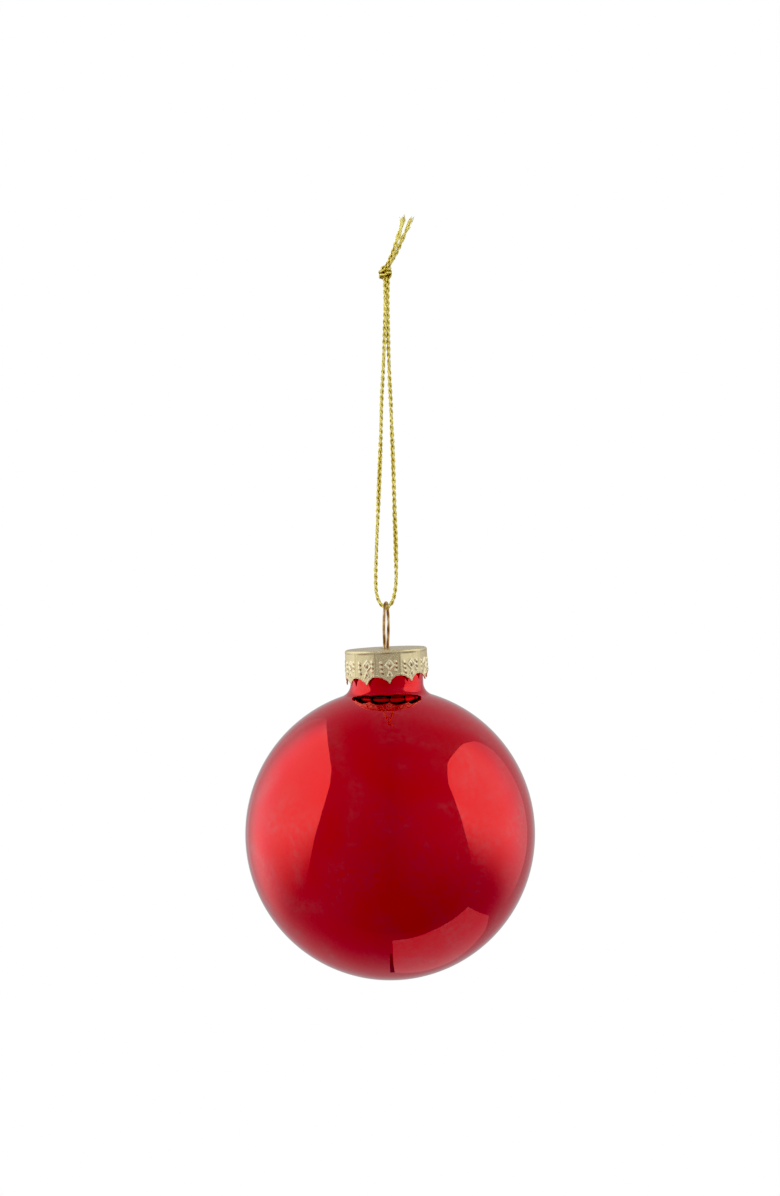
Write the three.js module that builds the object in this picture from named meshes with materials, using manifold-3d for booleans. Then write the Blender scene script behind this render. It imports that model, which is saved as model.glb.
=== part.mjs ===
// A glass ball ornament: a blown glass ball with a short neck, a stamped metal crown cap over the neck,
// a sprung wire clip that hangs the ball, and a twisted metallic cord tied in a loop.
// Millimetres, +Z up, the front towards -Y. The origin is the point that the ornament hangs from: the top
// of the cord loop, just below its knot. Everything else hangs below it.

import * as THREE from 'three';
import { mergeVertices } from 'three/addons/utils/BufferGeometryUtils.js';
import Module from 'manifold-3d';

const manifold = await Module();
manifold.setup();

// The ball: a sphere blown with one neck and no other opening.
const BALL_RADIUS = 33.5;
const BALL_CENTRE_DEPTH = 42.75; // below the top of the cap, along the ball's own axis
const GLASS = 0.6;
const NECK_RADIUS = 8.45;
const NECK_RIM_DEPTH = 1.2; // below the top of the cap
const NECK_FILLET = 3;
const FILLET_STEPS = 4;
const BALL_SEGMENTS = 48;
const BALL_ROWS = 20; // from the bottom up to the neck's fillet
const BALL_LEAN = THREE.MathUtils.degToRad(-1.25); // the neck leans left of upright

// The cap: eleven panels round the skirt, each ending in a pointed scallop whose tip is a little to the
// right of the panel's middle, and a flat top with a slot for each leg of the wire.
const CAP_TOP = -85.15;
const CAP_SHIFT = -0.1; // to the left of the clip's middle
const CAP_RADIUS = 9.5;
const CAP_FLARE = 0.15; // how much wider the skirt is at its lower edge
const CAP_EDGE = 0.55; // rounding between the top and the skirt
const SHEET = 0.25;
const PLATE_RADIUS = 4; // the middle of the flat top
const PANELS = 11;
const STEPS_PER_PANEL = 8;
const PANEL_TURN = THREE.MathUtils.degToRad(1.6); // the front panel's turn to the right
const SKIRT_DEPTH = 6; // at the creases
const SKIRT_UNEVEN = 0.4; // how much longer it is on the left, and shorter on the right
const SCALLOP_DEPTH = 1.65;
const TIP_PLACE = 0.14; // of half a panel, to the right
const CREASE = 0.15;
const CREASE_WIDTH = 0.3; // of half a panel
const CAP_LEAN = THREE.MathUtils.degToRad(-2.8); // to the left
const CAP_NOD = THREE.MathUtils.degToRad(1.2); // to the front

// The wire clip: an eye above the cap, bowed a little, and two legs bowed inside the neck.
const WIRE_RADIUS = 0.35;
const WIRE_SIDES = 8;
const EYE_ARCH_RADIUS = 1.6;
const EYE_TOP = -74.6; // the wire's centreline at the top of the eye
const EYE_TURN = THREE.MathUtils.degToRad(-13); // from front to back, turned a little to the right
const SLOT = { from: 1.65, to: 2.35, radius: 0.65 }; // the ends' centres, from the middle of the cap

// The cord: one piece, doubled and tied. Its bight runs through the eye from left to right.
const CORD_RADIUS = 0.525;
const CORD_SIDES = 8;
const KNOT_SIZE = [1.65, 1.45, 1.85]; // half sizes
const KNOT_CENTRE = [-0.15, 0, 2.4];
const KNOT_SEGMENTS = [16, 10];
const LENGTHWISE_STEPS = 72; // along the wire, and along the cord's loop

const FINISH = {
  red: { color: 0xa00016, roughness: 0.08, metalness: 0.9 },
  champagne: { color: 0xcfc39a, roughness: 0.4, metalness: 0.9 },
  copper: { color: 0x9a7040, roughness: 0.3, metalness: 1 },
  gold: { color: 0xc0a63e, roughness: 0.5, metalness: 0.6 },
};

function piece(name, geometry, finish) {
  const mesh = new THREE.Mesh(geometry, new THREE.MeshStandardMaterial(FINISH[finish]));
  mesh.name = name;
  return mesh;
}

// Turns a profile of [radius, height] pairs round the Z axis.
function turned(profile, segments) {
  const geometry = new THREE.LatheGeometry(profile.map(([r, z]) => new THREE.Vector2(r, z)), segments);
  return geometry.rotateX(Math.PI / 2);
}

// Sweeps a regular polygon along a smooth line through the points.
function swept(points, radius, sides, steps) {
  const section = new THREE.Shape(
    Array.from({ length: sides }, (_, i) => {
      const angle = (2 * Math.PI * i) / sides;
      return new THREE.Vector2(radius * Math.cos(angle), radius * Math.sin(angle));
    }),
  );
  const path = new THREE.CatmullRomCurve3(points.map((p) => new THREE.Vector3(...p)), false, 'centripetal');
  return new THREE.ExtrudeGeometry(section, { steps, bevelEnabled: false, extrudePath: path });
}

// A manifold solid of a geometry whose corners are shared.
function solid(geometry) {
  const bare = geometry.clone();
  bare.deleteAttribute('normal');
  bare.deleteAttribute('uv');
  const shared = mergeVertices(bare, 1e-4);
  return new manifold.Manifold(
    new manifold.Mesh({
      numProp: 3,
      vertProperties: new Float32Array(shared.attributes.position.array),
      triVerts: new Uint32Array(shared.index.array),
    }),
  );
}

function geometryOf(body) {
  const { vertProperties, triVerts } = body.getMesh();
  const geometry = new THREE.BufferGeometry();
  geometry.setAttribute('position', new THREE.BufferAttribute(vertProperties, 3));
  geometry.setIndex(new THREE.BufferAttribute(triVerts, 1));
  return geometry;
}

// One wall of the ball from its bottom pole to the neck's rim: a sphere, a fillet that touches the
// sphere and the neck, and the neck.
function ballWall(inset, filletRadius) {
  const ball = BALL_RADIUS - inset;
  const neck = NECK_RADIUS - inset;
  const centreOut = neck + filletRadius;
  const centreUp = Math.sqrt((ball + filletRadius) ** 2 - centreOut ** 2);
  const meets = Math.atan2(centreOut, centreUp); // from the ball's axis
  const points = [[0, -ball - BALL_CENTRE_DEPTH]];
  for (let i = 1; i <= BALL_ROWS; i++) {
    const angle = ((Math.PI - meets) * i) / BALL_ROWS;
    points.push([ball * Math.sin(angle), -ball * Math.cos(angle) - BALL_CENTRE_DEPTH]);
  }
  for (let i = FILLET_STEPS - 1; i >= 0; i--) {
    const angle = ((Math.PI / 2 - meets) * i) / FILLET_STEPS;
    const out = centreOut - filletRadius * Math.cos(angle);
    points.push([out, centreUp - filletRadius * Math.sin(angle) - BALL_CENTRE_DEPTH]);
  }
  points.push([neck, -NECK_RIM_DEPTH]);
  return points;
}

function glassBall() {
  const outside = ballWall(0, NECK_FILLET);
  const inside = ballWall(GLASS, NECK_FILLET + GLASS).reverse();
  return piece('glass_ball', turned([...outside, ...inside], BALL_SEGMENTS), 'red');
}

// The cup that the cap is pressed from, before it is creased: its top centre is at the origin.
function capCup() {
  const outer = CAP_RADIUS;
  const inner = CAP_RADIUS - SHEET;
  return turned(
    [
      [0, -SHEET],
      [PLATE_RADIUS, -SHEET],
      [inner - CAP_EDGE + SHEET, -SHEET],
      [inner, -CAP_EDGE],
      [inner, -0.5 * SKIRT_DEPTH],
      [inner, -SKIRT_DEPTH],
      [outer, -SKIRT_DEPTH],
      [outer, -0.5 * SKIRT_DEPTH],
      [outer, -CAP_EDGE],
      [outer - 0.3 * CAP_EDGE, -0.3 * CAP_EDGE],
      [outer - CAP_EDGE, 0],
      [PLATE_RADIUS, 0],
      [0, 0],
    ],
    PANELS * STEPS_PER_PANEL,
  );
}

// How far a panel's edge hangs below its creases; across runs from -1 on its left crease to 1 on its
// right one. The edge comes down to its tip more gently on the left.
function scallop(across) {
  const left = across < TIP_PLACE;
  const fromTip = left ? (TIP_PLACE - across) / (1 + TIP_PLACE) : (across - TIP_PLACE) / (1 - TIP_PLACE);
  return SCALLOP_DEPTH * (1 - fromTip) ** (left ? 2 : 3);
}

// Presses the cup into panels: the skirt flares, creases in between panels, and ends in scallops. Inside
// each panel the points are moved round a little, so that one of them is at the scallop's tip.
function pressPanels(geometry) {
  const place = geometry.attributes.position;
  const panel = (2 * Math.PI) / PANELS;
  const point = new THREE.Vector3();
  for (let i = 0; i < place.count; i++) {
    point.fromBufferAttribute(place, i);
    const radius = Math.hypot(point.x, point.y);
    const onSkirt = radius > CAP_RADIUS - CAP_EDGE - SHEET && point.z < -0.25 * CAP_EDGE;
    if (!onSkirt) continue;
    const onRim = point.z < -0.99 * SKIRT_DEPTH;
    const angle = Math.atan2(point.x, -point.y) / panel;
    const evenly = 2 * (angle - Math.round(angle));
    const across = evenly + TIP_PLACE * (1 - evenly ** 2);
    const crease = Math.max(0, 1 - (1 - Math.abs(across)) / CREASE_WIDTH) * CREASE;
    const grown = radius - (CAP_FLARE * point.z) / SKIRT_DEPTH - crease;
    const newAngle = (Math.round(angle) + across / 2) * panel;
    point.x = grown * Math.sin(newAngle);
    point.y = -grown * Math.cos(newAngle);
    if (onRim) point.z -= scallop(across) - SKIRT_UNEVEN * Math.sin(newAngle);
    place.setXYZ(i, point.x, point.y, point.z);
  }
  return geometry;
}

// What is cut from the cap's top for the wire's leg at the back.
function slotCutter() {
  const shape = new THREE.Shape();
  shape.absarc(0, SLOT.to, SLOT.radius, 0, Math.PI);
  shape.absarc(0, SLOT.from, SLOT.radius, Math.PI, 2 * Math.PI);
  const depth = 4 * SHEET;
  const cutter = new THREE.ExtrudeGeometry(shape, { depth, bevelEnabled: false, curveSegments: 8 });
  return cutter.translate(0, 0, -0.5 * (depth + SHEET));
}

function cap() {
  let body = solid(pressPanels(capCup()));
  for (const halfTurn of [0, Math.PI]) {
    const cutter = slotCutter().rotateZ(EYE_TURN - PANEL_TURN + halfTurn);
    body = body.subtract(solid(cutter));
  }
  const mesh = piece('cap', geometryOf(body), 'champagne');
  mesh.rotation.z = PANEL_TURN;
  return mesh;
}

// One leg of the clip, from its foot up to the eye: its distance from the middle, and its height
// above the top of the cap.
const LEG = [
  [5.3, -19.6],
  [4.7, -17.8],
  [5.4, -14.8],
  [6.7, -11.2],
  [7.1, -7.8],
  [5.8, -4.9],
  [3.2, -2.8],
  [1.8, -1.2],
  [1.6, 0.4],
  [1.9, 2.4],
  [2.25, 4.2],
  [2.3, 5.8],
  [2, 7.5],
];

function wireClip() {
  const archCentre = EYE_TOP - EYE_ARCH_RADIUS - CAP_TOP;
  const archSteps = 8;
  const arch = Array.from({ length: archSteps + 1 }, (_, i) => {
    const angle = (Math.PI * i) / archSteps;
    return [EYE_ARCH_RADIUS * Math.cos(angle), archCentre + EYE_ARCH_RADIUS * Math.sin(angle)];
  });
  const otherLeg = LEG.map(([out, up]) => [-out, up]).reverse();
  const line = [...LEG, ...arch, ...otherLeg].map(([out, up]) => [0, out, up]);
  const mesh = piece('wire_clip', swept(line, WIRE_RADIUS, WIRE_SIDES, LENGTHWISE_STEPS), 'copper');
  mesh.position.z = CAP_TOP;
  mesh.rotation.z = EYE_TURN;
  return mesh;
}

// The cord's route, from the knot down the left strand, through the eye and up the right strand.
const LOOP_ROUTE = [
  [-0.25, -0.6, 0.2],
  [-0.2, -0.6, -4],
  [-0.25, -0.55, -9],
  [-0.4, -0.45, -14],
  [-0.6, -0.3, -18.5],
  [-0.81, -0.15, -23],
  [-1.04, -0.1, -27.5],
  [-1.25, 0, -36.5],
  [-1.6, 0, -46],
  [-1.95, 0, -55],
  [-2.25, 0, -62.5],
  [-2.42, 0, -69.3],
  [-2.25, 0, -72.2],
  [-1.45, 0, -74.6],
  [0, 0, -75.75],
  [1.3, 0, -74.6],
  [2, 0, -72.2],
  [2.3, 0, -69.3],
  [2.25, 0, -62.5],
  [2, 0, -55],
  [1.75, 0, -46],
  [1.4, 0, -36.5],
  [1.04, 0.1, -27.5],
  [0.81, 0.2, -23],
  [0.65, 0.35, -18.5],
  [0.5, 0.5, -14],
  [0.4, 0.6, -9],
  [0.35, 0.65, -4],
  [0.35, 0.65, 0.2],
];

const TAIL_ROUTES = {
  cord_tail_left: [
    [0.85, -0.6, 4.75],
    [1.66, -0.6, 6.7],
    [2.4, -0.5, 9],
    [3, -0.4, 10.9],
    [3.55, -0.3, 12.7],
    [4.05, -0.2, 14.7],
  ],
  cord_tail_right: [
    [1.2, 0.6, 4.6],
    [2.05, 0.6, 6],
    [2.9, 0.6, 7.8],
    [3.6, 0.55, 9.5],
    [4.4, 0.5, 11.3],
    [5.2, 0.4, 13],
    [5.85, 0.3, 14.5],
  ],
};

function cordLoop() {
  return piece('cord_loop', swept(LOOP_ROUTE, CORD_RADIUS, CORD_SIDES, LENGTHWISE_STEPS), 'gold');
}

function cordTails() {
  return Object.entries(TAIL_ROUTES).map(([name, route]) =>
    piece(name, swept(route, CORD_RADIUS, CORD_SIDES, route.length), 'gold'),
  );
}

function cordKnot() {
  const ellipsoid = new THREE.SphereGeometry(1, ...KNOT_SEGMENTS).scale(...KNOT_SIZE);
  const mesh = piece('cord_knot', ellipsoid, 'gold');
  mesh.position.set(...KNOT_CENTRE);
  return mesh;
}

// A group that hangs from the cap's top, and leans to the side and nods to the front.
function leaning(mesh, lean, nod, shift) {
  const group = new THREE.Group();
  group.position.set(shift, 0, CAP_TOP);
  group.rotation.set(nod, lean, 0);
  group.add(mesh);
  return group;
}

const ornament = new THREE.Group();
ornament.add(cordLoop(), cordKnot(), ...cordTails());
ornament.add(wireClip());
ornament.add(leaning(cap(), CAP_LEAN, CAP_NOD, CAP_SHIFT));
ornament.add(leaning(glassBall(), BALL_LEAN, 0, 0));

export default ornament;
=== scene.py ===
"""A red glass ball ornament on a gold cord: its fine surfaces, materials, studio and camera.

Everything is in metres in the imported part's frame: +Z up, the front towards -Y, and the origin where the
ornament hangs, just below the knot of its cord.
"""

import math

import bmesh
import bpy
import numpy as np
from mathutils import Matrix, Vector


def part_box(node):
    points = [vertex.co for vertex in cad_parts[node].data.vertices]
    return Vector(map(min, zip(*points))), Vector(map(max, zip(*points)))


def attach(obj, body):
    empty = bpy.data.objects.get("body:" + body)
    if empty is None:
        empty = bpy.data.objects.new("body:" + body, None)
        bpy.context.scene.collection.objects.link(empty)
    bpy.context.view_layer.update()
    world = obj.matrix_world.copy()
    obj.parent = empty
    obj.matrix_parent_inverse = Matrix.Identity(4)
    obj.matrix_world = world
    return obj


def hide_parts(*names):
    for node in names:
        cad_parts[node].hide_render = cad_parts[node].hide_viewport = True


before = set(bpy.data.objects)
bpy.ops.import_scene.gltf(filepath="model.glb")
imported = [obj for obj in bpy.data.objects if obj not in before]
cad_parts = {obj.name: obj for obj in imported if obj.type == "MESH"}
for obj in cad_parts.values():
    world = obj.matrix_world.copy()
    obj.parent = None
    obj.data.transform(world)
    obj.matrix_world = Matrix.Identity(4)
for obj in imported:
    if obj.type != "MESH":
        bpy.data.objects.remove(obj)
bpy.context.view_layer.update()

MM = 0.001

# The ball
BALL_LOW, BALL_HIGH = (np.array(corner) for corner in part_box("glass_ball"))
BALL_RADIUS = (BALL_HIGH[1] - BALL_LOW[1]) / 2
BALL_CENTRE = Vector(((BALL_LOW[0] + BALL_HIGH[0]) / 2, 0, BALL_LOW[2] + BALL_RADIUS))
GLASS = 0.6 * MM
NECK_RADIUS = 8.45 * MM
NECK_FILLET = 3 * MM
NECK_RIM_DEPTH = 1.2 * MM

# The cap
CAP_TOP = Vector((0, 0, -85.15 * MM))
CAP_SHIFT = Vector((-0.1 * MM, 0, 0))
CAP_LEAN = math.radians(-2.8)
CAP_NOD = math.radians(1.2)
CAP_RADIUS = 9.5 * MM
CAP_FLARE = 0.15 * MM
CAP_EDGE = 0.55 * MM
SHEET = 0.25 * MM
PANELS = 11
PANEL_TURN = math.radians(1.6)
SKIRT_DEPTH = 6.0 * MM
SKIRT_UNEVEN = 0.4 * MM  # how much longer it is on the left, and shorter on the right
SCALLOP_DEPTH = 1.65 * MM
TIP_PLACE = 0.14  # of half a panel, to the right of its middle
CREASE = 0.15 * MM
SLOT_FROM = 1.65 * MM
SLOT_TO = 2.35 * MM
SLOT_RADIUS = 0.65 * MM

# The wire clip
WIRE_RADIUS = 0.35 * MM
EYE_TOP = -74.6 * MM
EYE_ARCH_RADIUS = 1.6 * MM
EYE_TURN = math.radians(-13)

# The cord
YARN_STEP = 0.2 * MM


# ---------------------------------------------------------------- lines and meshes


def even(line, spacing):
    """The same line with its points an even distance apart."""
    along = np.concatenate([[0], np.cumsum(np.linalg.norm(np.diff(line, axis=0), axis=1))])
    count = max(2, round(along[-1] / spacing) + 1)
    places = np.linspace(0, along[-1], count)
    return np.stack([np.interp(places, along, line[:, k]) for k in range(3)], axis=1)


def smooth_line(points, spacing):
    """A centripetal Catmull-Rom line through the points."""
    points = np.array(points, float)
    points = np.vstack([2 * points[0] - points[1], points, 2 * points[-1] - points[-2]])
    spans = []
    for p0, p1, p2, p3 in zip(points, points[1:], points[2:], points[3:], strict=False):
        t1 = math.sqrt(np.linalg.norm(p1 - p0))
        t2 = t1 + math.sqrt(np.linalg.norm(p2 - p1))
        t3 = t2 + math.sqrt(np.linalg.norm(p3 - p2))
        t = np.linspace(t1, t2, 24, endpoint=False)[:, None]
        a1 = (t1 - t) / t1 * p0 + t / t1 * p1
        a2 = (t2 - t) / (t2 - t1) * p1 + (t - t1) / (t2 - t1) * p2
        a3 = (t3 - t) / (t3 - t2) * p2 + (t - t2) / (t3 - t2) * p3
        b1 = (t2 - t) / t2 * a1 + t / t2 * a2
        b2 = (t3 - t) / (t3 - t1) * a2 + (t - t1) / (t3 - t1) * a3
        spans.append((t2 - t) / (t2 - t1) * b1 + (t - t1) / (t2 - t1) * b2)
    return even(np.vstack([*spans, points[-2:-1]]), spacing)


def unit(vectors):
    return vectors / np.maximum(np.linalg.norm(vectors, axis=-1, keepdims=True), 1e-12)


def side_axes(line, first):
    """Two axes across the line at each point, carried along it without twisting."""
    tangent = unit(np.gradient(line, axis=0))
    side = np.empty_like(line)
    side[0] = unit(first - (first @ tangent[0]) * tangent[0])
    for i in range(len(line) - 1):
        step = line[i + 1] - line[i]
        reflected = side[i] - 2 / (step @ step) * (step @ side[i]) * step
        turned = tangent[i] - 2 / (step @ step) * (step @ tangent[i]) * step
        change = tangent[i + 1] - turned
        side[i + 1] = reflected - 2 / max(change @ change, 1e-18) * (change @ reflected) * change
    return side, np.cross(tangent, side)


def pairs(first, second):
    """Both values at each point of a grid: one runs down its rows, and the other along its columns."""
    return np.stack(np.broadcast_arrays(first, second), axis=-1)


class Shape:
    """A growing mesh with a point value of painted shade and highlight, and each point's place along and
    round its piece.
    """

    def __init__(self):
        self.points, self.faces, self.relief_shading, self.places, self.slots = [], [], [], [], []
        self.count = 0

    def add(self, points, relief_shading, places):
        first = self.count
        self.points.append(np.asarray(points, float).reshape(-1, 3))
        self.relief_shading.append(np.broadcast_to(relief_shading, len(self.points[-1])).astype(float))
        self.places.append(np.asarray(places, float).reshape(-1, 2))
        self.count += len(self.points[-1])
        return first

    def grid(self, points, relief_shading, places, slot=0):
        """Rows of points joined by quads, with each row's end joined to its start."""
        rows, columns = points.shape[:2]
        first = self.add(points, np.ravel(relief_shading), places)
        for row in range(rows - 1):
            low, high = first + row * columns, first + (row + 1) * columns
            for k in range(columns):
                after = (k + 1) % columns
                self.faces.append((low + k, low + after, high + after, high + k))
                self.slots.append(slot)
        return first

    def fan(self, ring, middle, relief_shading, place, slot=0, flip=False):
        """Closes a ring of point numbers with one point."""
        top = self.add([middle], relief_shading, [place])
        for a, b in zip(ring, [*ring[1:], ring[0]], strict=True):
            self.faces.append((b, a, top) if flip else (a, b, top))
            self.slots.append(slot)

    def made(self, name, *materials):
        mesh = bpy.data.meshes.new(name)
        mesh.from_pydata(np.vstack(self.points).tolist(), [], self.faces)
        relief_shading = mesh.attributes.new("relief_shading", "FLOAT", "POINT")
        relief_shading.data.foreach_set("value", np.concatenate(self.relief_shading))
        corners = np.empty(len(mesh.loops), int)
        mesh.loops.foreach_get("vertex_index", corners)
        layer = mesh.uv_layers.new(name="place")
        layer.data.foreach_set("uv", np.vstack(self.places)[corners].ravel())
        mesh.polygons.foreach_set("material_index", self.slots)
        mesh.polygons.foreach_set("use_smooth", [True] * len(mesh.polygons))
        for material in materials:
            mesh.materials.append(material)
        mesh.update()
        made = bpy.data.objects.new(name, mesh)
        bpy.context.scene.collection.objects.link(made)
        return made


def add_tube(shape, line, axes, radii, sides, relief_shading=None):
    """A closed tube round the line. radii are (along the first axis, along the second) for each point."""
    angles = np.linspace(0, 2 * np.pi, sides, endpoint=False)
    across, over = axes
    rings = (
        line[:, None]
        + across[:, None] * (radii[:, :1] * np.cos(angles))[..., None]
        + over[:, None] * (radii[:, 1:] * np.sin(angles))[..., None]
    )
    along = np.concatenate([[0], np.cumsum(np.linalg.norm(np.diff(line, axis=0), axis=1))])
    places = pairs(along[:, None] / MM, angles / (2 * np.pi))
    values = np.ones((len(line), sides)) if relief_shading is None else relief_shading(rings)
    first = shape.grid(rings, values, places)
    last = first + (len(line) - 1) * sides
    shape.fan(range(first, first + sides), line[0], values[0].mean(), (0, 0), flip=True)
    shape.fan(range(last, last + sides), line[-1], values[-1].mean(), (along[-1] / MM, 0))


# ---------------------------------------------------------------- camera

CAMERA_DISTANCE = 0.4
VIEW_HEIGHT = 0.2774  # of what the frame shows at the ornament
CAMERA_AIM = Vector((0.9 * MM, 0, -73.5 * MM))


def make_camera():
    data = bpy.data.cameras.new("camera")
    data.sensor_fit = "VERTICAL"
    data.sensor_height = 24
    data.lens = data.sensor_height * CAMERA_DISTANCE / VIEW_HEIGHT
    data.clip_start = 0.01
    camera = bpy.data.objects.new("camera", data)
    camera.location = CAMERA_AIM - Vector((0, CAMERA_DISTANCE, 0))
    camera.rotation_euler = (math.pi / 2, 0, 0)
    bpy.context.scene.collection.objects.link(camera)
    bpy.context.scene.camera = camera


make_camera()


# ---------------------------------------------------------------- materials


def add_node(tree, kind, inputs=(), **settings):
    """A new node with these settings, and with its inputs set or linked."""
    node = tree.nodes.new(kind)
    for key, value in settings.items():
        setattr(node, key, value)
    for key, value in dict(inputs).items():
        if isinstance(value, bpy.types.NodeSocket):
            tree.links.new(value, node.inputs[key])
        else:
            node.inputs[key].default_value = value
    return node


class Look:
    """A node material on one Principled shader."""

    def __init__(self, name, **values):
        self.material = bpy.data.materials.new(name)
        self.material.use_nodes = True
        self.tree = self.material.node_tree
        self.shader = self.tree.nodes["Principled BSDF"]
        for socket, value in values.items():
            self.shader.inputs[socket.replace("_", " ")].default_value = value

    def node(self, kind, inputs=(), **settings):
        return add_node(self.tree, kind, inputs, **settings)

    def set(self, socket, output):
        self.tree.links.new(output, self.shader.inputs[socket])

    def place(self, kind="Object"):
        return self.node("ShaderNodeTexCoord").outputs[kind]

    def stretched(self, scale, turn=0.0):
        """The place along and round a piece, scaled and turned."""
        inputs = {"Vector": self.place("UV"), "Scale": scale, "Rotation": (0, 0, turn)}
        return self.node("ShaderNodeMapping", inputs, vector_type="POINT").outputs["Vector"]

    # The mesh's point value of painted shade and highlight.
    def relief_shading(self):
        return self.node("ShaderNodeAttribute", attribute_name="relief_shading").outputs["Fac"]

    def noise(self, scale, place=None, detail=3.0, roughness=0.5):
        inputs = {"Vector": place or self.place(), "Scale": scale, "Detail": detail, "Roughness": roughness}
        return self.node("ShaderNodeTexNoise", inputs).outputs["Fac"]

    def ramp(self, value, *stops):
        """Colours or greys at positions from 0 to 1."""
        node = self.node("ShaderNodeValToRGB", {"Fac": value})
        elements = node.color_ramp.elements
        while len(elements) < len(stops):
            elements.new(0.5)
        for element, (position, colour) in zip(elements, stops, strict=True):
            element.position = position
            element.color = (*colour, 1) if isinstance(colour, tuple) else (colour, colour, colour, 1)
        return node.outputs["Color"]

    def mix(self, share, first, second, blend="MIX"):
        """Two colours mixed; the Mix node's colour sockets are 6, 7 and 2."""
        inputs = {0: share, 6: first, 7: second}
        return self.node("ShaderNodeMix", inputs, data_type="RGBA", blend_type=blend).outputs[2]

    def bump(self, height, distance, over=None):
        inputs = {"Height": height, "Distance": distance, "Strength": 1.0}
        if over is not None:
            inputs["Normal"] = over
        return self.node("ShaderNodeBump", inputs).outputs["Normal"]


def red_lacquer():
    """Clear red lacquer over silvered glass: a red mirror under a clear coat, with a hand-blown waver."""
    look = Look("red_lacquer", Metallic=1.0, Coat_Weight=1.0, Coat_Roughness=0.015, Coat_IOR=1.45)
    look.shader.inputs["Specular Tint"].default_value = (1.0, 0.3, 0.32, 1)
    drift = look.noise(60, detail=2)
    look.set("Base Color", look.ramp(drift, (0.3, (0.73, 0.012, 0.001)), (0.7, (0.76, 0.012, 0.005))))
    look.set("Roughness", look.ramp(look.noise(900, detail=4), (0.35, 0.02), (0.75, 0.05)))
    look.set("Normal", look.bump(look.noise(45, detail=1), 0.00004))
    return look.material


def silvering():
    """The silvered inside of the glass, seen down the neck."""
    look = Look("silvering", Metallic=1.0)
    patches = look.noise(400, detail=5)
    look.set("Base Color", look.ramp(patches, (0.3, (0.55, 0.54, 0.52)), (0.6, (0.82, 0.81, 0.79))))
    look.set("Roughness", look.ramp(patches, (0.3, 0.3), (0.6, 0.1)))
    return look.material


def stamped_gold():
    """Pale gold lacquer on stamped sheet: painted shade where it is pressed in, painted highlights where it
    stands out.
    """
    look = Look("stamped_gold", Metallic=0.92)
    grain = look.noise(2600, detail=6, roughness=0.65)
    # Painted shade and highlight from the relief, mixed with a fine grain in the lacquer's tone.
    shading_and_grain = look.mix(0.15, look.ramp(look.relief_shading(), (0.0, 0.0), (1.0, 1.0)), grain)
    colour = look.ramp(
        shading_and_grain,
        (0.15, (0.22, 0.18, 0.09)),
        (0.4, (0.67, 0.58, 0.34)),
        (0.6, (0.9, 0.79, 0.49)),
        (0.85, (1.0, 0.93, 0.68)),
    )
    look.set("Base Color", colour)
    look.set("Roughness", look.ramp(look.noise(1200, detail=5), (0.3, 0.22), (0.7, 0.34)))
    fine = look.bump(look.noise(2600, detail=2), 0.000004)
    look.set("Normal", look.bump(look.noise(300, detail=2), 0.0001, over=fine))
    return look.material


def copper_wire():
    """Copper-washed spring wire, with drawing lines along it and darker tarnish."""
    look = Look("copper_wire", Metallic=1.0, Anisotropic=0.4)
    drawn = look.noise(1, place=look.stretched((0.25, 26, 1)), detail=3)
    tarnish = look.noise(500, detail=4)
    look.set(
        "Base Color",
        look.ramp(tarnish, (0.3, (0.2, 0.11, 0.035)), (0.5, (0.54, 0.33, 0.13)), (0.7, (1.0, 0.8, 0.45))),
    )
    look.set("Roughness", look.ramp(drawn, (0.3, 0.16), (0.7, 0.3)))
    look.set("Normal", look.bump(drawn, 0.000015))
    return look.material


def metallic_yarn():
    """Foil-wrapped yarn: bright filaments that cross each strand slantwise, with painted glints, and
    painted shade between the strands.
    """
    look = Look("metallic_yarn", Metallic=0.6)
    slanted = look.stretched((2.2, 5, 1), turn=0.5)
    waves = {"Vector": slanted, "Scale": 1.0, "Distortion": 1.2, "Detail": 2.0}
    filaments = look.node("ShaderNodeTexWave", waves).outputs["Fac"]
    sparkle = look.noise(2500, detail=3)
    gold = look.mix(0.5, look.ramp(filaments, (0.2, 0.3), (0.8, 1.0)), sparkle)
    # The foil's tone along its filaments; its palest stop is a painted glint.
    foil_and_glints = look.ramp(gold, (0.3, (0.62, 0.46, 0.06)), (0.5, (1.0, 0.84, 0.15)), (0.72, (1.0, 0.98, 0.42)))
    # Painted shade: dark between the strands and where the cord presses on itself, from the point value.
    shade = look.ramp(look.relief_shading(), (0.3, (0.24, 0.17, 0.05)), (0.62, (0.72, 0.62, 0.3)), (0.9, 1.0))
    look.set("Base Color", look.mix(1.0, foil_and_glints, shade, blend="MULTIPLY"))
    look.set("Roughness", look.ramp(sparkle, (0.3, 0.25), (0.7, 0.5)))
    look.set("Normal", look.bump(filaments, 0.00005))
    return look.material


# ---------------------------------------------------------------- the cord

STRAND_RADIUS = 0.235 * MM
STRAND_SIDES = 10
FULLY_OUT = 0.5 * MM  # for the painted shade: a point this far from the cord's middle line is as bright as it gets
PLAIT = 4.6 * MM  # one turn of the plait
SWAY = 0.33 * MM  # each strand's way from the cord's middle line, from side to side
DEPTH = 0.17 * MM  # and from front to back
WANDER = ((0.7, 9 * MM, 0.0), (0.5, 3.7 * MM, 1.0))  # the plait's turns to and fro, each over what length
KNOT_MIDDLE = 2.4 * MM
KNOT_REACH = 2.6 * MM
KNOT_SQUEEZE = 0.1  # the share by which the knot packs the strands tighter
LOOSE_UP_TO = 2.2 * MM  # from a cut end, the plait is all undone
PLAITED_FROM = 7.7 * MM  # from a cut end, it is whole
LOOSE_UNTURNED = 0.75  # the share of its turns that the loose plait has lost
LOOSE_FULLER = 0.2  # the share by which its strands swell
LOOSE_LIGHTER = 0.4  # how much its painted shade lifts there, as if light got between the loose strands
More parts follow.
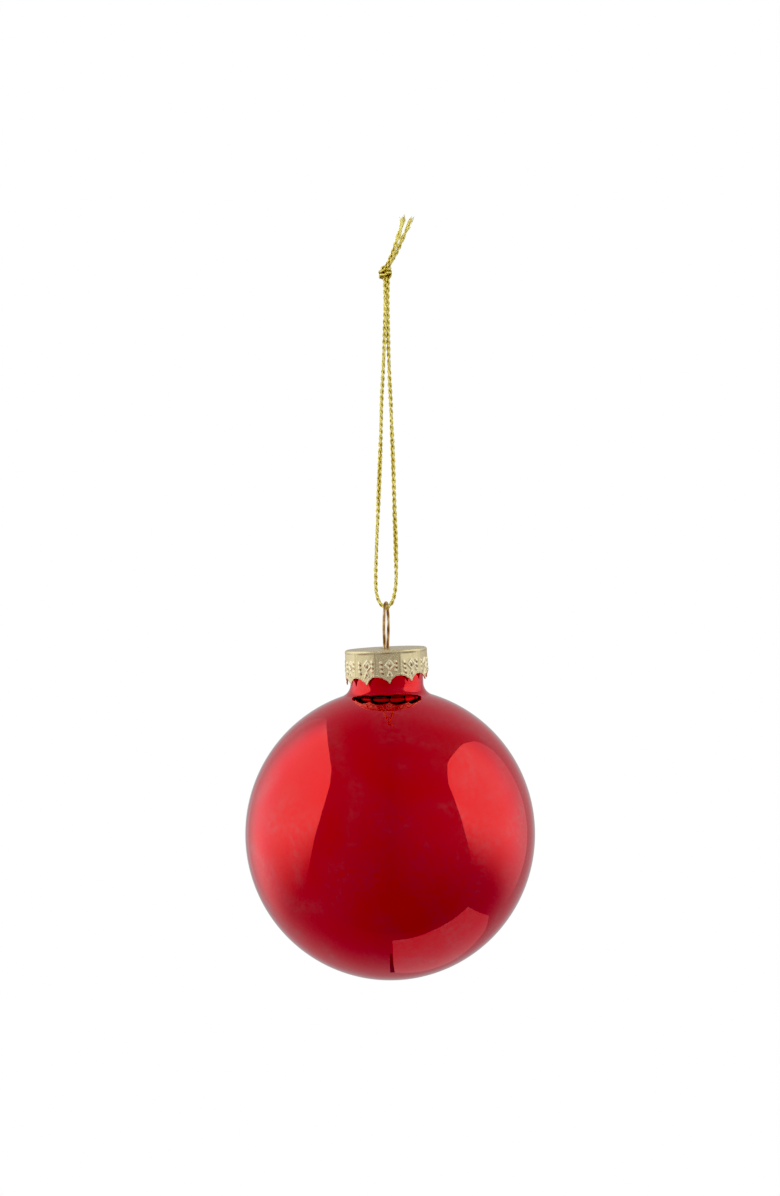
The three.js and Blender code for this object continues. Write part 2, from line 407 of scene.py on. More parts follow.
# Painted shade where the cord lies on another pass of itself.
PRESSED_DARKER = 0.35
FAN_LENGTH = 5 * MM  # of the right tail's end, where the strands spread apart
FAN_WAY = np.array([0.92, -0.1, -0.4])
FAN = (0.6 * MM, -0.35 * MM, 0.1 * MM)  # each strand's way out at the right tip
CUT_SHORT = ((0.0, 1.6), (0.4, 0.3), (0.15, 0.0))  # mm off each strand, at the left and the right tip
FIBRES = 12  # at each tip
FIBRE_RADIUS = 0.045 * MM
FIBRE_SIDES = 6
FIBRE_LEAN = 0.3
FIBRE_START = (0.6, 1.1)  # mm back from the tip
FIBRE_SPREAD = 0.25 * MM  # of the starts
FIBRE_REACH = (0.8, 1.35)  # mm
FIBRE_BEND = 0.12 * MM
CROSSINGS_FROM = -1.5 * MM  # the lowest height at which the cord lies on itself
SAME_PASS = 2 * MM  # points nearer than this along the cord are one pass of it
PRESSED_WITHIN = 0.85 * MM  # of another pass's middle line
PRESSED_FULLY = 0.45 * MM  # of it

# Through the knot: the middle of the two strands side by side, and from there to the left tail's strand.
# They go up the knot's middle, once round it from the top to the bottom, and up through it again.
KNOT_ROUTE = [
    ((-0.05, 0.15, 1.1), (-0.2, -0.42, 0)),
    ((-0.5, 0.35, 2.0), (-0.3, -0.25, 0.1)),
    ((-0.45, 0.5, 2.9), (-0.2, -0.1, 0.3)),
    ((0.3, 0.7, 3.05), (-0.05, 0, 0.38)),
    ((0.95, 0.1, 2.5), (0, -0.1, 0.4)),
    ((0.5, -0.75, 2.15), (-0.1, 0, 0.4)),
    ((-0.2, -0.95, 1.9), (-0.12, 0, 0.4)),
    ((-0.95, -0.7, 1.7), (-0.08, 0.05, 0.4)),
    ((-1.35, 0, 1.6), (0, 0.08, 0.4)),
    ((-1.0, 0.65, 1.35), (0.08, 0.05, 0.4)),
    ((-0.15, 0.9, 1.15), (0.1, 0, 0.38)),
    ((0.5, 0.4, 1.25), (-0.15, 0.15, 0.3)),
    ((0.5, -0.2, 1.75), (-0.35, -0.1, 0)),
    ((0.2, -0.4, 2.5), (-0.3, -0.25, 0)),
    ((0.3, -0.3, 3.35), (-0.2, -0.45, 0)),
    ((0.7, -0.1, 4.0), (-0.18, -0.55, 0.05)),
]
# From the knot down the left strand, through the eye and up the right strand.
LOOP_ROUTE = [
    (-0.25, -0.6, 0.2),
    (-0.2, -0.6, -4),
    (-0.25, -0.55, -9),
    (-0.4, -0.45, -14),
    (-0.6, -0.3, -18.5),
    (-0.81, -0.15, -23),
    (-1.04, -0.1, -27.5),
    (-1.25, 0, -36.5),
    (-1.6, 0, -46),
    (-1.95, 0, -55),
    (-2.25, 0, -62.5),
    (-2.42, 0, -69.3),
    (-2.25, 0, -72.2),
    (-1.45, 0, -74.6),
    (0, 0, -75.75),
    (1.3, 0, -74.6),
    (2, 0, -72.2),
    (2.3, 0, -69.3),
    (2.25, 0, -62.5),
    (2, 0, -55),
    (1.75, 0, -46),
    (1.4, 0, -36.5),
    (1.04, 0.1, -27.5),
    (0.81, 0.2, -23),
    (0.65, 0.35, -18.5),
    (0.5, 0.5, -14),
    (0.4, 0.6, -9),
    (0.35, 0.65, -4),
    (0.35, 0.65, 0.2),
]
LEFT_TAIL_ROUTE = [
    (0.85, -0.6, 4.75),
    (1.66, -0.6, 6.7),
    (2.4, -0.5, 9),
    (3, -0.4, 10.9),
    (3.55, -0.3, 12.7),
    (4.05, -0.2, 14.7),
]
RIGHT_TAIL_ROUTE = [
    (1.2, 0.6, 4.6),
    (2.05, 0.6, 6),
    (2.9, 0.6, 7.8),
    (3.6, 0.55, 9.5),
    (4.4, 0.5, 11.3),
    (5.2, 0.4, 13),
    (5.85, 0.3, 14.5),
]


def knot_strands():
    """The left and right strands' points through the knot, in millimetres."""
    middle, apart = (np.array(column) for column in zip(*KNOT_ROUTE, strict=True))
    return middle + apart, middle - apart


def cord_line():
    """The whole cord's middle line, from the left tail's tip to the right tail's tip."""
    left, right = knot_strands()
    route = np.vstack([LEFT_TAIL_ROUTE[::-1], left[::-1], LOOP_ROUTE, right, RIGHT_TAIL_ROUTE])
    return smooth_line(route * MM, YARN_STEP)


def pressed(points, place, line, along):
    """How near each point is to another pass of the cord, from 0 to 1; place is how far along it is."""
    passing = line[:, 2] > CROSSINGS_FROM
    gaps = np.linalg.norm(points[:, :, None] - line[passing], axis=-1)
    own = np.abs(place[:, None] - along[passing]) < SAME_PASS
    gaps[np.broadcast_to(own[:, None], gaps.shape)] = 1
    return np.clip((PRESSED_WITHIN - gaps.min(axis=-1)) / (PRESSED_WITHIN - PRESSED_FULLY), 0, 1)


def cord_axes(line, along):
    """Two axes across the cord that wander round it a little, as the plait does."""
    side, over = side_axes(line, np.array([1.0, 0, 0]))
    wander = sum(turn * np.sin(along / length + start) for turn, length, start in WANDER)
    lean, rise = np.cos(wander)[:, None], np.sin(wander)[:, None]
    return lean * side + rise * over, lean * over - rise * side


def make_cord(yarn):
    """Three strands plaited along the cord's line, packed tighter in the knot and loose at the cut ends."""
    line = cord_line()
    along = np.arange(len(line)) * YARN_STEP
    from_right_tip = along[-1] - along
    side, over = cord_axes(line, along)
    in_knot = np.clip(1 - np.abs(line[:, 2] - KNOT_MIDDLE) / KNOT_REACH, 0, 1)
    squeeze = 1 - KNOT_SQUEEZE * np.minimum(1, 2 * in_knot)
    from_tip = np.minimum(along, from_right_tip)
    loose = np.clip((PLAITED_FROM - from_tip) / (PLAITED_FROM - LOOSE_UP_TO), 0, 1)
    turns = np.cumsum(1 - LOOSE_UNTURNED * loose) * YARN_STEP / PLAIT
    fanned = np.clip(1 - from_right_tip / FAN_LENGTH, 0, 1)[:, None] ** 1.3 * FAN_WAY
    shape = Shape()
    for k, (cut_left, cut_right) in enumerate(CUT_SHORT):
        phase = 2 * np.pi * (turns + k / len(CUT_SHORT))
        sway = (SWAY * np.sin(phase) * squeeze)[:, None]
        depth = (DEPTH * np.sin(2 * phase) * squeeze)[:, None]
        strand = line + sway * side + depth * over + FAN[k] * fanned
        keep = (along >= cut_left * MM) & (from_right_tip >= cut_right * MM)
        radius = (STRAND_RADIUS * (squeeze + LOOSE_FULLER * loose))[keep]

        # Painted shade: darker towards the cord's middle line, between its strands, and where another pass
        # presses on it; lighter at the loose ends.
        def relief_shading(rings, keep=keep):
            stands_out = np.linalg.norm(rings - line[keep][:, None], axis=-1) / FULLY_OUT
            open_to_light = stands_out + LOOSE_LIGHTER * loose[keep][:, None]
            darker = PRESSED_DARKER * pressed(rings, along[keep], line, along)
            return np.clip(open_to_light * (1 - darker), 0, 1)

        axes = side_axes(strand[keep], side[keep][0])
        add_tube(shape, strand[keep], axes, np.stack([radius, radius], axis=1), STRAND_SIDES, relief_shading)
    return shape.made("hanging_cord", yarn), line


def make_fibres(line, yarn):
    """Loose filaments that stand out of the cord's cut ends."""
    rng = np.random.default_rng(7)
    shape = Shape()
    for tip, inner in ((line[0], line[12]), (line[-1], line[-13])):
        outward = unit(tip - inner)
        for _ in range(FIBRES):
            lean = unit(outward + rng.normal(0, FIBRE_LEAN, 3))
            start = tip - outward * rng.uniform(*FIBRE_START) * MM + rng.normal(0, FIBRE_SPREAD, 3)
            reach = rng.uniform(*FIBRE_REACH) * MM
            bend = rng.normal(0, FIBRE_BEND, 3)
            t = np.linspace(0, 1, 9)[:, None]
            fibre = start + outward * reach * 0.5 * t + lean * reach * 0.5 * t**2 + bend * t**2
            radii = np.full((len(fibre), 2), FIBRE_RADIUS)
            add_tube(shape, fibre, side_axes(fibre, np.array([1.0, 0.2, 0])), radii, FIBRE_SIDES)
    return shape.made("cord_fibres", yarn)


yarn = metallic_yarn()
cord, cord_path = make_cord(yarn)
fibres = make_fibres(cord_path, yarn)
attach(cord, "cord")
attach(fibres, "cord")
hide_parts("cord_loop", "cord_knot", "cord_tail_left", "cord_tail_right")


# ---------------------------------------------------------------- the wire clip

# One leg from its foot up to the eye: its distance from the middle, and its height above the cap's top.
LEG = [
    (5.3, -19.6),
    (4.7, -17.8),
    (5.4, -14.8),
    (6.7, -11.2),
    (7.1, -7.8),
    (5.8, -4.9),
    (3.2, -2.8),
    (1.8, -1.2),
    (1.6, 0.4),
    (1.9, 2.4),
    (2.25, 4.2),
    (2.3, 5.8),
    (2, 7.5),
]
WIRE_STEP = 0.2 * MM
WIRE_SIDES = 20
WIRE_END = 0.4 * MM  # rounded off over about this length


def make_clip(copper):
    radius = EYE_ARCH_RADIUS / MM
    arch_height = (EYE_TOP - CAP_TOP.z) / MM - radius
    arch = [
        (radius * math.cos(angle), arch_height + radius * math.sin(angle))
        for angle in np.linspace(0, math.pi, 13)
    ]
    half = [*LEG, *arch, *[(-out, up) for out, up in reversed(LEG)]]
    turn = np.array([-math.sin(EYE_TURN), math.cos(EYE_TURN), 0])
    route = [turn * out * MM + np.array([0, 0, CAP_TOP.z + up * MM]) for out, up in half]
    line = smooth_line(route, WIRE_STEP)
    place = np.arange(len(line))
    from_end = np.minimum(place, place[::-1]) * WIRE_STEP
    radius = WIRE_RADIUS * np.sqrt(np.clip(0.55 + from_end / WIRE_END, 0, 1))
    shape = Shape()
    axes = side_axes(line, np.array([1.0, 0, 0]))
    add_tube(shape, line, axes, np.stack([radius, radius], axis=1), WIRE_SIDES)
    return shape.made("spring_clip", copper)


clip = make_clip(copper_wire())
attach(clip, "clip")
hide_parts("wire_clip")


# ---------------------------------------------------------------- the cap

COLUMNS = PANELS * 48
SKIRT_ROWS = 56
PLATE_RADIUS = 6 * MM  # the middle of the flat top
SPREAD = 0.08 * MM  # the skirt's creases stand out from CAP_RADIUS by this
FLATTENED = 0.32 * MM  # how far each panel's middle lies inside them
EMBOSSED = 0.2 * MM
RIPPLE = 0.08 * MM  # along the scallops' edges
SLOT_POINTS = 40  # round each slot
LIP_WIDTH = 0.3 * MM
LIP_HEIGHT = 0.1 * MM
CREASE_FROM = 0.86  # of half a panel, from its middle
FADE_DEPTH = 0.6 * MM  # below the cap's rounded edge, where the panels' shape begins
TOP_ROWS = 6
BEND_ROWS = 7
INSIDE_SKIRT_ROWS = 13


def scallop(across):
    """How far a panel's edge hangs below its creases: across runs from -1, the left crease, to 1."""
    left = across < TIP_PLACE
    from_tip = np.abs(across - TIP_PLACE) / np.where(left, 1 + TIP_PLACE, 1 - TIP_PLACE)
    ripple = RIPPLE * np.sin(across * 5 * np.pi) * (1 - across * across)
    return SCALLOP_DEPTH * (1 - from_tip) ** np.where(left, 2, 3) + ripple


def near(x, depth, start, end, width):
    """1 on the line from start to end, falling to 0 at that width from it; all in millimetres."""
    start, end = np.array(start), np.array(end)
    run = end - start
    share = np.clip(((x - start[0]) * run[0] + (depth - start[1]) * run[1]) / (run @ run), 0, 1)
    away = np.hypot(x - start[0] - share * run[0], depth - start[1] - share * run[1])
    return np.clip(1 - away / width, 0, 1)


# The stamped pattern of one panel: ends of raised ridges, and raised and pressed dots, as (to the right of
# the scallop's tip, below the cap's top). These and the widths are in millimetres.
RIDGE_WIDTH = 0.3
RAISED_DOT_WIDTH = 0.42
PRESSED_DOT_WIDTH = 0.32
BORDER_WIDTH = 0.22
BORDER_INSET = 0.4  # from the scallop's edge
BEADS_APART = 0.46
RIDGES = [
    ((0.15, 2.35), (-0.85, 3.45)),
    ((0.15, 2.35), (1.1, 3.55)),
    ((-0.85, 3.45), (0.1, 4.55)),
    ((1.1, 3.55), (0.1, 4.55)),
    ((0.05, 4.95), (-0.5, 6.0)),
    ((0.05, 4.95), (0.55, 5.9)),
]
RAISED_DOTS = [
    (-1.85, 2.95),
    (-1.85, 3.95),
    (-1.75, 4.95),
    (1.55, 2.75),
    (1.55, 3.7),
    (1.5, 4.7),
    (0.12, 3.2),
]
PRESSED_DOTS = [
    (-1.65, 3.35),
    (-1.65, 4.35),
    (-1.5, 5.4),
    (1.7, 3.15),
    (1.7, 4.15),
    (0.15, 3.75),
    (0.05, 5.6),
]


def embossing(x, depth, edge):
    """The stamped pattern's height, from -1 to 1: x from the scallop's tip, depth below the cap's top."""
    height = np.zeros_like(x)
    for start, end in RIDGES:
        height = np.maximum(height, near(x, depth, start, end, RIDGE_WIDTH))
    for place in RAISED_DOTS:
        end = (place[0] - 0.12, place[1] - 0.2)
        height = np.maximum(height, near(x, depth, place, end, RAISED_DOT_WIDTH))
    border = np.clip(1 - np.abs(edge - depth - BORDER_INSET) / BORDER_WIDTH, 0, 1)
    beads = 0.5 + 0.5 * np.cos(x / BEADS_APART * 2 * np.pi)
    height = np.maximum(height, 0.75 * border * beads)
    for place in PRESSED_DOTS:
        height = height - near(x, depth, place, (place[0] + 0.02, place[1] + 0.03), PRESSED_DOT_WIDTH)
    return height


def cap_point(radius, depth, angle):
    """A point of the cap, before it leans: angle runs from the front towards the right."""
    return np.stack([radius * np.sin(angle), -radius * np.cos(angle), -depth], axis=-1)


def cap_surface(angle, share, inside):
    """The skirt's radius, depth and painted shade and highlight at each angle, for a share of the way down
    to its edge.
    """
    panel = angle / (2 * np.pi / PANELS)
    across = 2 * (panel - np.round(panel))
    edge = SKIRT_DEPTH + scallop(across) - SKIRT_UNEVEN * np.sin(angle)
    depth = CAP_EDGE + share * (edge - CAP_EDGE)
    x = (across - TIP_PLACE) * math.pi / PANELS * CAP_RADIUS / MM
    fade = np.clip((depth - CAP_EDGE) / FADE_DEPTH + 0.35, 0, 1)
    crease = CREASE * np.clip((np.abs(across) - CREASE_FROM) / (1 - CREASE_FROM), 0, 1) ** 1.3 * fade
    flattened = FLATTENED * (1 - across**2) * fade
    raised = embossing(x, depth / MM, edge / MM)
    raised = np.abs(raised) * raised * (3 - 2 * np.abs(raised))
    lift = EMBOSSED * raised
    radius = CAP_RADIUS + SPREAD + CAP_FLARE * depth / SKIRT_DEPTH - crease - flattened + lift
    # A painted highlight on the stamped pattern's raised parts, and painted shade in its pressed dots and
    # the creases.
    relief_shading = 0.42 + 0.5 * raised - 0.9 * crease / MM
    if inside:
        return radius - lift - SHEET, depth, np.full_like(angle, 0.45)
    return radius, depth, relief_shading


def cap_rows(angle):
    """The cap's points and painted shade: out over its top, down the skirt's outside, and back up inside
    it.
    """
    rows, reliefs = [], []

    def row(*values):
        radius, depth, relief_shading = (np.broadcast_to(value, angle.shape) for value in values)
        rows.append(cap_point(radius, depth, angle))
        reliefs.append(relief_shading)

    flat_radius = CAP_RADIUS - CAP_EDGE
    top_radius, _, top_relief = cap_surface(angle, np.zeros_like(angle), inside=False)
    # The top is painted a little lighter than the skirt, and its rounded edge lighter still.
    for radius in np.linspace(PLATE_RADIUS, flat_radius, TOP_ROWS):
        row(radius, 0, 0.5)
    for bend in np.linspace(0, math.pi / 2, BEND_ROWS)[1:-1]:
        radius = flat_radius + (top_radius - flat_radius) * math.sin(bend)
        row(radius, CAP_EDGE * (1 - math.cos(bend)), top_relief + 0.1)
    for share in np.linspace(0, 1, SKIRT_ROWS):
        row(*cap_surface(angle, np.full_like(angle, share), inside=False))
    for share in np.linspace(1, 0, INSIDE_SKIRT_ROWS):
        row(*cap_surface(angle, np.full_like(angle, share), inside=True))
    # Painted shade under the top.
    row(flat_radius, SHEET, 0.3)
    row(PLATE_RADIUS, SHEET, 0.3)
    return np.stack(rows), np.stack(reliefs)


def make_cap(gold):
    angle = np.linspace(0, 2 * np.pi, COLUMNS, endpoint=False)
    points, relief_shading = cap_rows(angle)
    places = pairs(angle / (2 * np.pi) * PANELS, np.linspace(0, 1, len(points))[:, None])
    shape = Shape()
    shape.grid(points[::-1], relief_shading[::-1], places)
    cap = shape.made("crown_cap", gold)
    close_plate(cap)
    leaning = Matrix.Rotation(CAP_NOD, 4, "X") @ Matrix.Rotation(CAP_LEAN, 4, "Y")
    turned = leaning @ Matrix.Rotation(PANEL_TURN, 4, "Z")
    cap.data.transform(Matrix.Translation(CAP_TOP + CAP_SHIFT) @ turned)
    return cap


def slot_ring(way, grow, height):
    """The outline of one of the wire's slots, grown by that much."""
    ahead = Matrix.Rotation(EYE_TURN - PANEL_TURN, 3, "Z") @ Vector((0, way, 0))
    aside = Vector((ahead.y, -ahead.x, 0))
    radius = SLOT_RADIUS + grow
    ring = []
    for k in range(SLOT_POINTS):
        angle = 2 * math.pi * (k + 0.5) / SLOT_POINTS
        middle = SLOT_TO if math.sin(angle) > 0 else SLOT_FROM
        flat = aside * radius * math.cos(angle) + ahead * (middle + radius * math.sin(angle))
        ring.append(flat + Vector((0, 0, height)))
    return ring


def close_plate(cap):
    """Fills the middle of the cap's top, above and below, round the wire's two slots with rolled lips."""
    mesh = bmesh.new()
    mesh.from_mesh(cap.data)
    relief_shading = mesh.verts.layers.float["relief_shading"]
    lips = {}
    for height, lip in ((0.0, LIP_HEIGHT), (-SHEET, 0.0)):
        edges = [
            edge
            for edge in mesh.edges
            if edge.is_boundary
            and abs(edge.verts[0].co.z - height) < 1e-6
            and edge.verts[0].co.xy.length < PLATE_RADIUS * 1.01
        ]
        for way in (-1, 1):
            outer = [mesh.verts.new(point) for point in slot_ring(way, LIP_WIDTH, height)]
            inner = [mesh.verts.new(point) for point in slot_ring(way, 0, height + lip)]
            for vertex in (*outer, *inner):
                vertex[relief_shading] = 0.5
            edges += [mesh.edges.new((a, b)) for a, b in zip(outer, [*outer[1:], outer[0]], strict=True)]
            join_rings(mesh, outer, inner)
            lips[way, height] = inner
        bmesh.ops.triangle_fill(mesh, use_beauty=True, edges=edges, normal=(0, 0, 1))
    for way in (-1, 1):
        join_rings(mesh, lips[way, 0.0], lips[way, -SHEET])
    bmesh.ops.recalc_face_normals(mesh, faces=mesh.faces)
    for face in mesh.faces:
        face.smooth = abs(face.normal.z) < 0.999
    mesh.to_mesh(cap.data)
    mesh.free()


def join_rings(mesh, first, second):
    for k in range(len(first)):
        mesh.faces.new((first[k], first[k - 1], second[k - 1], second[k]))


cap = make_cap(stamped_gold())
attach(cap, "cap")
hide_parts("cap")


# ---------------------------------------------------------------- the glass ball

BALL_COLUMNS = 192
OUTSIDE_ROWS = 110
INSIDE_ROWS = 50
FILLET_ROWS = 12
NECK_ROWS = 8
RIM_ROUNDING = 0.12 * MM


def ball_wall(inset, rows):
    """Radius and height above the ball's centre, from the bottom pole up to the neck's rim."""
    ball, neck, fillet = BALL_RADIUS - inset, NECK_RADIUS - inset, NECK_FILLET + inset
    rim = neck_rim_height()
    # The fillet's circle touches the ball outside it and the neck beside it.
    centre_radius = neck + fillet
    centre_height = math.sqrt((ball + fillet) ** 2 - centre_radius**2)
    meets = math.atan2(centre_radius, centre_height)
    points = [(ball * math.sin(a), -ball * math.cos(a)) for a in np.linspace(0, math.pi - meets, rows)]
    for a in np.linspace(math.pi / 2 - meets, 0, FILLET_ROWS)[1:]:
        points.append((centre_radius - fillet * math.cos(a), centre_height - fillet * math.sin(a)))
    for share in np.linspace(0, 1, NECK_ROWS)[1:]:
        points.append((neck, centre_height + share * (rim - centre_height)))
    return points


def neck_rim_height():
    return (CAP_TOP - BALL_CENTRE).length - NECK_RIM_DEPTH


def neck_lip():
    """The rounded rim's radius and height, from outside to inside."""
    rim = neck_rim_height() + RIM_ROUNDING
    return [
        (NECK_RADIUS - RIM_ROUNDING, rim - RIM_ROUNDING / 4),
        (NECK_RADIUS - GLASS / 2, rim),
        (NECK_RADIUS - GLASS + RIM_ROUNDING, rim - RIM_ROUNDING / 4),
    ]


def make_ball(lacquer, silver):
    """The glass ball, turned from two profiles: outside up to the rim's middle, and from there inside."""
    lip = neck_lip()
    outside = ball_wall(0, OUTSIDE_ROWS) + lip[:2]
    inside = lip[1:] + ball_wall(GLASS, INSIDE_ROWS)[::-1]
    columns = BALL_COLUMNS
    angle = np.linspace(0, 2 * np.pi, columns, endpoint=False)
    shape = Shape()
    for profile, slot in ((outside, 0), (inside, 1)):
        radius, height = np.array(profile[1:] if slot == 0 else profile[:-1]).T
        rings = (radius, np.cos(angle)), (radius, np.sin(angle)), (height, np.ones(columns))
        points = np.stack([np.outer(*pair) for pair in rings], axis=-1)
        places = pairs(angle / (2 * np.pi), np.linspace(0, 1, len(radius))[:, None])
        first = shape.grid(points, np.ones(points.shape[:2]), places, slot)
        if slot == 0:
            shape.fan(range(first, first + columns), (0, 0, profile[0][1]), 1, (0.5, 0), slot, flip=True)
        else:
            last = first + (len(radius) - 1) * columns
            shape.fan(range(last, last + columns), (0, 0, profile[-1][1]), 1, (0.5, 1), slot)
    ball = shape.made("ball_glass", lacquer, silver)
    weld(ball)
    leaning = Vector((0, 0, 1)).rotation_difference((CAP_TOP - BALL_CENTRE).normalized())
    ball.data.transform(Matrix.Translation(BALL_CENTRE) @ leaning.to_matrix().to_4x4())
    return ball


def weld(made):
    mesh = bmesh.new()
    mesh.from_mesh(made.data)
    bmesh.ops.remove_doubles(mesh, verts=mesh.verts, dist=1e-7)
    bmesh.ops.recalc_face_normals(mesh, faces=mesh.faces)
    mesh.to_mesh(made.data)
    mesh.free()


ball = make_ball(red_lacquer(), silvering())
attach(ball, "ball")
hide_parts("glass_ball")


# ---------------------------------------------------------------- the studio

DARKEST = (0.012, 0.029, 0.0165)  # the light levels that a picture shows as black
STUDIO_LEVEL = 0.39  # straight in front; the light from elsewhere is more or less by these
MORE_BEHIND = 0.08
MORE_ASIDE = 0.13
MORE_ABOVE = 0.07
LESS_RIGHT_BELOW = 0.2
# The table under the ornament: how much light it adds, from the front, at -1, to the back, at 1.
TABLE = [(-0.25, 0.0), (-0.22, 0.03), (0.6, 0.08), (0.94, 0.0)]
PANEL_AWAY = 0.5  # from the ball's centre
DARK_EDGE_UP = -0.98  # just above the card, which is at -1
FLOOR_BELOW = 0.15  # from the ball's bottom
# Each panel's outline in shares of that: (back, up) for the sides, and (right, back) for the card below and
# the dark strip along its edge.
LEFT_PANEL = [
    (1.6, 1.6),
    (0.58, 1.48),
    (0.0, 1.33),
    (-0.42, 1.14),
    (-0.62, 0.87),
    (-0.68, 0.55),
    (-0.67, 0.25),
    (-0.56, -0.15),
    (-0.3, -0.7),
    (1.6, -1.3),
    (2.1, -0.4),
    (2.1, 1.1),
]
RIGHT_PANEL = [
    (0.8, 0.95),
    (0.37, 1.18),
    (-0.14, 1.26),
    (-0.33, 1.25),
    (-0.5, 1.12),
    (-0.66, 0.9),
    (-0.68, 0.5),
    (-0.62, 0.08),
    (-0.48, -0.3),
    (-0.2, -0.8),
    (0.8, -0.9),
    (1.0, -0.2),
    (0.99, 0.65),
]
# The fill light's corners, in metres from the cap's top. It lights the matt pieces and isn't reflected.
FRONT_FILL = [(-0.5, -0.45, 0.05), (0.3, -0.6, 0.05), (0.3, -0.5, 0.5), (-0.5, -0.35, 0.5)]
LOWER_CARD = [
    (0.02, -0.15),
    (0.03, -0.17),
    (0.47, -0.19),
    (1.05, -0.16),
    (1.07, -0.14),
    (1.09, 0.6),
    (0.86, 0.88),
    (0.4, 1.15),
    (0.2, 1.02),
    (0.03, 0.78),
]
DARK_EDGE = [(0.0, 0.1), (0.015, 0.1), (0.03, 0.75), (0.0, 0.75)]


def smooth_step(tree, value, start, end, first, last):
    """A node that goes smoothly from first to last while the value goes from start to end."""
    keys = ("Value", "From Min", "From Max", "To Min", "To Max")
    inputs = zip(keys, (value, start, end, first, last), strict=True)
    return add_node(tree, "ShaderNodeMapRange", inputs, interpolation_type="SMOOTHSTEP").outputs[0]


def studio_level(tree):
    """The studio's light level in each direction."""

    def total(operation, first, *others):
        """The operation on the first two, then on that and the next, and so on."""
        for other in others:
            first = add_node(tree, "ShaderNodeMath", {0: first, 1: other}, operation=operation).outputs[0]
        return first

    way = add_node(tree, "ShaderNodeTexCoord").outputs["Generated"]
    right, back, up = add_node(tree, "ShaderNodeSeparateXYZ", {0: way}).outputs
    behind = smooth_step(tree, back, 0.0, 0.9, 0.0, MORE_BEHIND)
    to_one_side = total("MAXIMUM", right, total("MULTIPLY", right, -1.0))
    only_below = total("MINIMUM", up, 0.0)
    right_below = total("MULTIPLY", total("MAXIMUM", right, 0.0), only_below, LESS_RIGHT_BELOW)
    aside, above = total("MULTIPLY", to_one_side, MORE_ASIDE), total("MULTIPLY", up, MORE_ABOVE)

    table = add_node(tree, "ShaderNodeValToRGB", {"Fac": total("ADD", total("MULTIPLY", back, 0.5), 0.5)})
    stops = table.color_ramp.elements
    while len(stops) < len(TABLE):
        stops.new(0.5)
    for stop, (place, level) in zip(stops, TABLE, strict=True):
        stop.position, stop.color = (place + 1) / 2, (level, level, level, 1)
    inward = total("SUBTRACT", 1.0, to_one_side)
    table_level = total("MULTIPLY", table.outputs["Color"], only_below, -1.0, inward)
    return total("ADD", behind, STUDIO_LEVEL, aside, above, right_below, table_level)


def make_world():
    """A pale studio, darker in front, that the camera itself sees as plain white."""
    world = bpy.data.worlds.new("studio")
    bpy.context.scene.world = world
    world.use_nodes = True
    tree = world.node_tree
    tree.nodes.clear()
    level = studio_level(tree)
    white = (1, 1, 1, 1)
    studio = add_node(tree, "ShaderNodeBackground", {"Color": white, "Strength": level}).outputs[0]
    seen_white = add_node(tree, "ShaderNodeBackground", {"Color": white, "Strength": 1.0}).outputs[0]
    seen = add_node(tree, "ShaderNodeLightPath").outputs["Is Camera Ray"]
    mixed = add_node(tree, "ShaderNodeMixShader", {0: seen, 1: studio, 2: seen_white}).outputs[0]
    add_node(tree, "ShaderNodeOutputWorld", {"Surface": mixed})


def glow(name, strength, lean=0.0, low=-9.0, high=-8.0, dim_from=8.0, dim_to=9.0, dim=0.0):
    """Light from a panel. It fades in from low to high, and these levels rise to the front by lean. From
    dim_from to dim_to, towards the back, it loses a share of dim. All are in shares of PANEL_AWAY, and
    unless they are given, the whole panel is lit alike."""
    look = bpy.data.materials.new(name)
    look.use_nodes = True
    tree = look.node_tree
    tree.nodes.clear()
    place = add_node(tree, "ShaderNodeTexCoord").outputs["Object"]
    _, back, up = add_node(tree, "ShaderNodeSeparateXYZ", {0: place}).outputs
    leaning = {0: back, 1: lean, 2: up}
    level = add_node(tree, "ShaderNodeMath", leaning, operation="MULTIPLY_ADD").outputs[0]
    dimmed = strength * (1 - dim)
    power = smooth_step(tree, back, dim_from * PANEL_AWAY, dim_to * PANEL_AWAY, strength, dimmed)
    lit = smooth_step(tree, level, low * PANEL_AWAY, high * PANEL_AWAY, 0, 1)
    light = add_node(tree, "ShaderNodeEmission", {"Strength": power}).outputs[0]
    clear = add_node(tree, "ShaderNodeBsdfTransparent").outputs[0]
    shown = add_node(tree, "ShaderNodeMixShader", {0: lit, 1: clear, 2: light}).outputs[0]
    add_node(tree, "ShaderNodeOutputMaterial", {"Surface": shown})
    return look


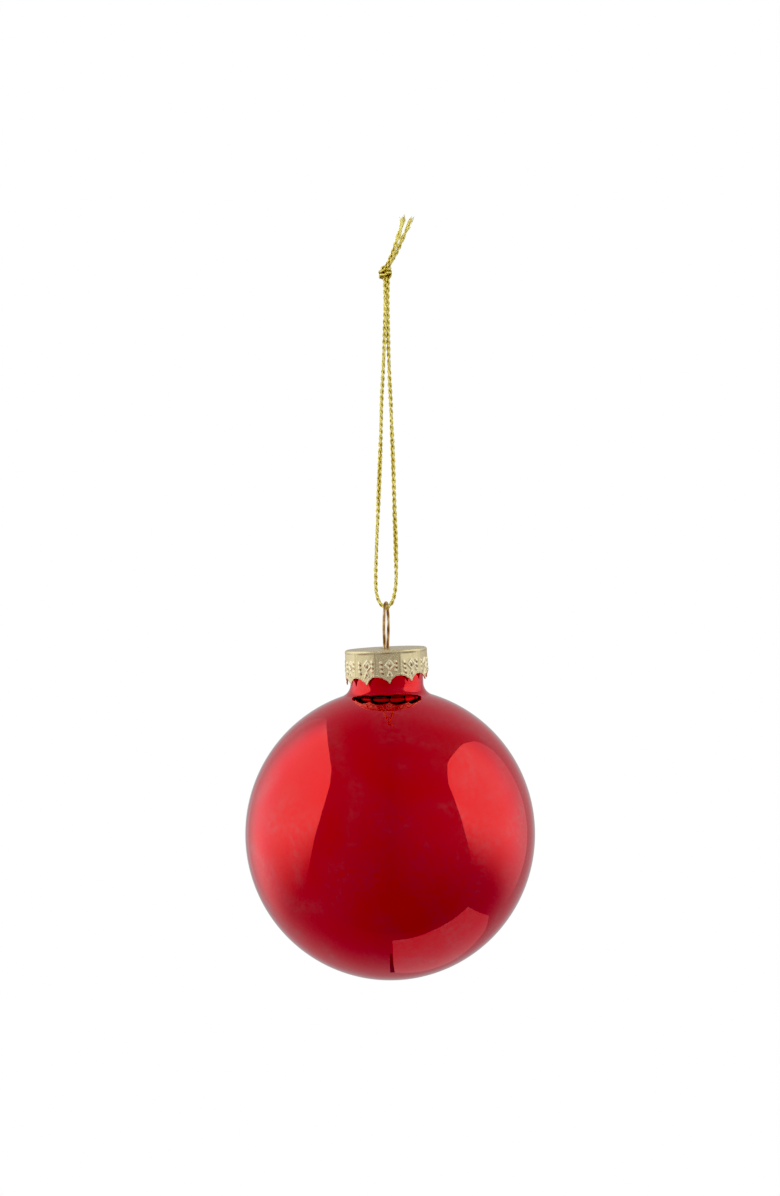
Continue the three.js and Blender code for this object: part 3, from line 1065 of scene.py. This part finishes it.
def rounded(outline):
    """The outline with its corners cut, a seventh of the way along its sides."""
    points = np.array(outline)
    after = np.roll(points, -1, axis=0)
    return np.stack([(6 * points + after) / 7, (points + 6 * after) / 7], axis=1).reshape(-1, 2).tolist()


def make_stage(name, corners, material, middle=None):
    """A flat piece of the studio; corners are measured from the middle."""
    mesh = bpy.data.meshes.new(name)
    mesh.from_pydata([tuple(corner) for corner in corners], [], [tuple(range(len(corners)))])
    mesh.materials.append(material)
    made = bpy.data.objects.new(name, mesh)
    made.location = middle or (0, 0, 0)
    bpy.context.scene.collection.objects.link(made)
    return made


def make_panels():
    left = glow("left_panel", 1.14, lean=0.35, low=-0.75, high=0.1, dim_from=0.5, dim_to=1.6, dim=0.45)
    right = glow("right_panel", 1.09, lean=0.35, low=-0.55, high=0.12, dim_from=0.2, dim_to=0.95, dim=0.3)
    for way, outline, light in ((-1, LEFT_PANEL, left), (1, RIGHT_PANEL, right)):
        corners = [PANEL_AWAY * Vector((way, back, up)) for back, up in rounded(outline)]
        make_stage(light.name, corners, light, BALL_CENTRE).visible_camera = False
    for outline, height, light in (
        (LOWER_CARD, -1, glow("lower_card", 0.6)),
        (DARK_EDGE, DARK_EDGE_UP, glow("dark_edge", 0.15)),
    ):
        corners = [PANEL_AWAY * Vector((right, back, height)) for right, back in outline]
        make_stage(light.name, corners, light, BALL_CENTRE).visible_camera = False
    fill = make_stage("front_fill", FRONT_FILL, glow("front_fill", 4.4), CAP_TOP)
    fill.visible_camera = fill.visible_glossy = False


def make_floor():
    """A plain white floor far enough below that the ornament hangs clear of it."""
    height = BALL_LOW[2] - FLOOR_BELOW
    corners = [(-3, -3, height), (3, -3, height), (3, 6, height), (-3, 6, height)]
    floor = make_stage("floor", corners, glow("floor", 1.0))
    floor.visible_glossy = floor.visible_diffuse = False


make_world()
make_panels()
make_floor()
bpy.context.scene.view_settings.view_transform = "Standard"
bpy.context.scene.view_settings.use_curve_mapping = True
bpy.context.scene.view_settings.curve_mapping.black_level = DARKEST
